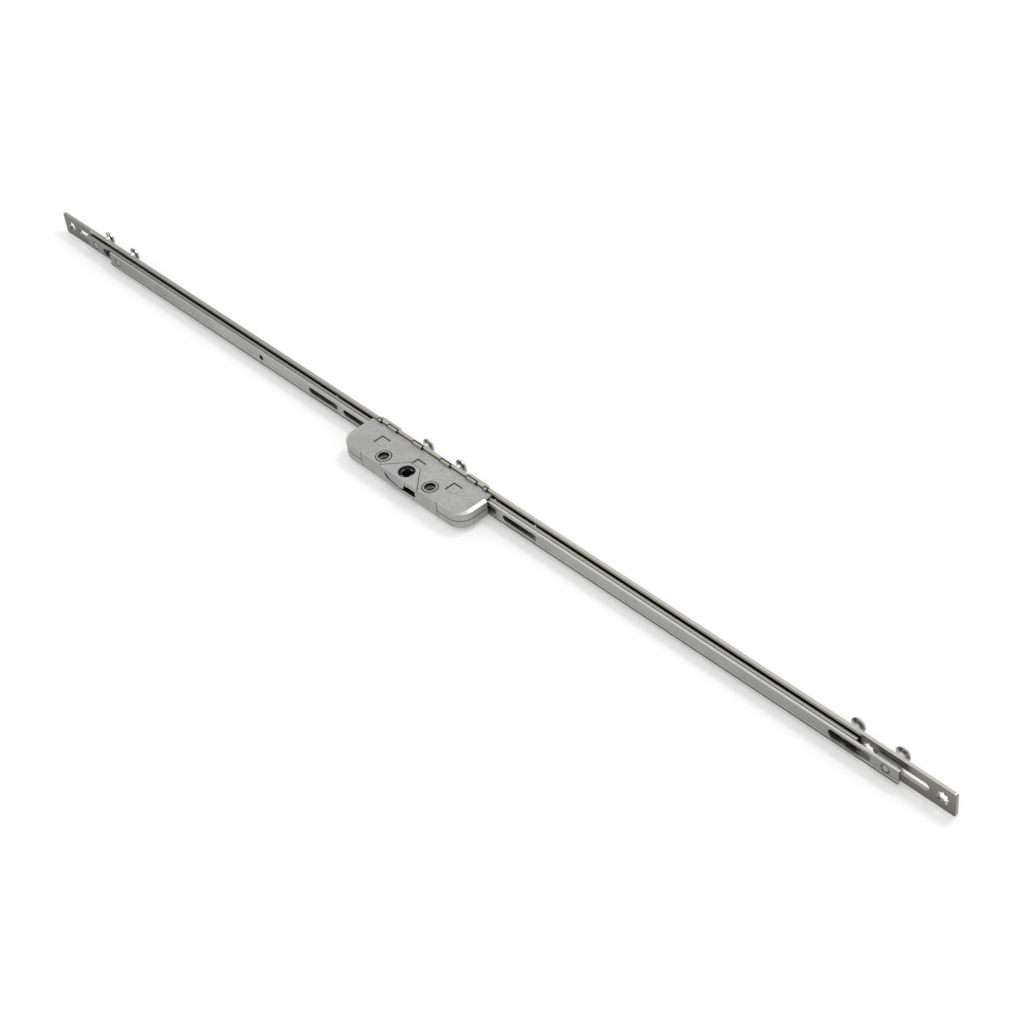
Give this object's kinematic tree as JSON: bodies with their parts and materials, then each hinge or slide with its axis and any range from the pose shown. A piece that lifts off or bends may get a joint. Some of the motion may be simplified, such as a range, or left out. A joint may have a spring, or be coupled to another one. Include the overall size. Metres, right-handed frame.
{
  "type": "window espagnolette gearbox",
  "caption": "Window espagnolette with a centre gearbox, long faceplate, two opposed drive bars and paired mushroom cams.",
  "frame": {"origin": "middle of the faceplate's outer face, level with the spindle", "axes": "+X along the faceplate, +Y out of the faceplate on the cam side, +Z along the spindle axis to the handle"},
  "size_m": [0.8, 0.038, 0.016],
  "materials": {
    "zinc_plated_steel": "zinc plated",
    "cast_zinc": "matte die casting",
    "bright_steel": "bright turned",
    "gear_steel": "plain"
  },
  "bodies": {
    "housing": {"faceplate": "zinc_plated_steel", "case_base": "cast_zinc", "case_cover": "cast_zinc", "sleeve_left": "bright_steel", "sleeve_right": "bright_steel", "pinion_stud": "bright_steel", "index_spring": "gear_steel"},
    "spindle_follower": {"follower": "gear_steel"},
    "front_bar": {"drive_bar_front": "zinc_plated_steel", "drive_rack": "gear_steel", "rack_rivet_left": "gear_steel", "rack_rivet_right": "gear_steel", "spacer_plate": "cast_zinc"},
    "rear_bar": {"drive_bar_rear": "zinc_plated_steel"},
    "reverser": {"reversing_pinion": "gear_steel"},
    "cam_front_left_body": {"cam_front_left": "bright_steel"},
    "cam_front_middle_body": {"cam_front_middle": "bright_steel"},
    "cam_front_right_body": {"cam_front_right": "bright_steel"},
    "cam_rear_left_body": {"cam_rear_left": "bright_steel"},
    "cam_rear_middle_body": {"cam_rear_middle": "bright_steel"},
    "cam_rear_right_body": {"cam_rear_right": "bright_steel"}
  },
  "joints": [
    {"name": "spindle_turn", "type": "hinge", "parent": "housing", "child": "spindle_follower", "pos_m": [0, -0.022, 0], "axis": [0, 0, -1], "range_deg": [0, 90]},
    {"name": "front_bar_slide", "type": "slide", "parent": "housing", "child": "front_bar", "axis": [1, 0, 0], "range_m": [0, 0.018]},
    {"name": "rear_bar_slide", "type": "slide", "parent": "housing", "child": "rear_bar", "axis": [-1, 0, 0], "range_m": [0, 0.018]},
    {"name": "reverser_turn", "type": "hinge", "parent": "housing", "child": "reverser", "pos_m": [0, -0.0045, -0.00015], "axis": [0, 1, 0], "range_deg": [0, 369]},
    {"name": "cam_front_left_adjust", "type": "hinge", "parent": "front_bar", "child": "cam_front_left_body", "pos_m": [-0.328, 0, 0], "axis": [0, 1, 0], "range_deg": [-90, 90]},
    {"name": "cam_front_middle_adjust", "type": "hinge", "parent": "front_bar", "child": "cam_front_middle_body", "pos_m": [0.015, 0, 0], "axis": [0, 1, 0], "range_deg": [-90, 90]},
    {"name": "cam_front_right_adjust", "type": "hinge", "parent": "front_bar", "child": "cam_front_right_body", "pos_m": [0.358, 0, 0], "axis": [0, 1, 0], "range_deg": [-90, 90]},
    {"name": "cam_rear_left_adjust", "type": "hinge", "parent": "rear_bar", "child": "cam_rear_left_body", "pos_m": [-0.358, 0, 0], "axis": [0, 1, 0], "range_deg": [-90, 90]},
    {"name": "cam_rear_middle_adjust", "type": "hinge", "parent": "rear_bar", "child": "cam_rear_middle_body", "pos_m": [-0.015, 0, 0], "axis": [0, 1, 0], "range_deg": [-90, 90]},
    {"name": "cam_rear_right_adjust", "type": "hinge", "parent": "rear_bar", "child": "cam_rear_right_body", "pos_m": [0.328, 0, 0], "axis": [0, 1, 0], "range_deg": [-90, 90]}
  ],
  "couplings": [
    {"joint": "spindle_turn", "follows": "front_bar_slide", "rad_per_m": 87.26},
    {"joint": "rear_bar_slide", "follows": "front_bar_slide", "ratio": 1},
    {"joint": "reverser_turn", "follows": "front_bar_slide", "rad_per_m": 357.14}
  ]
}
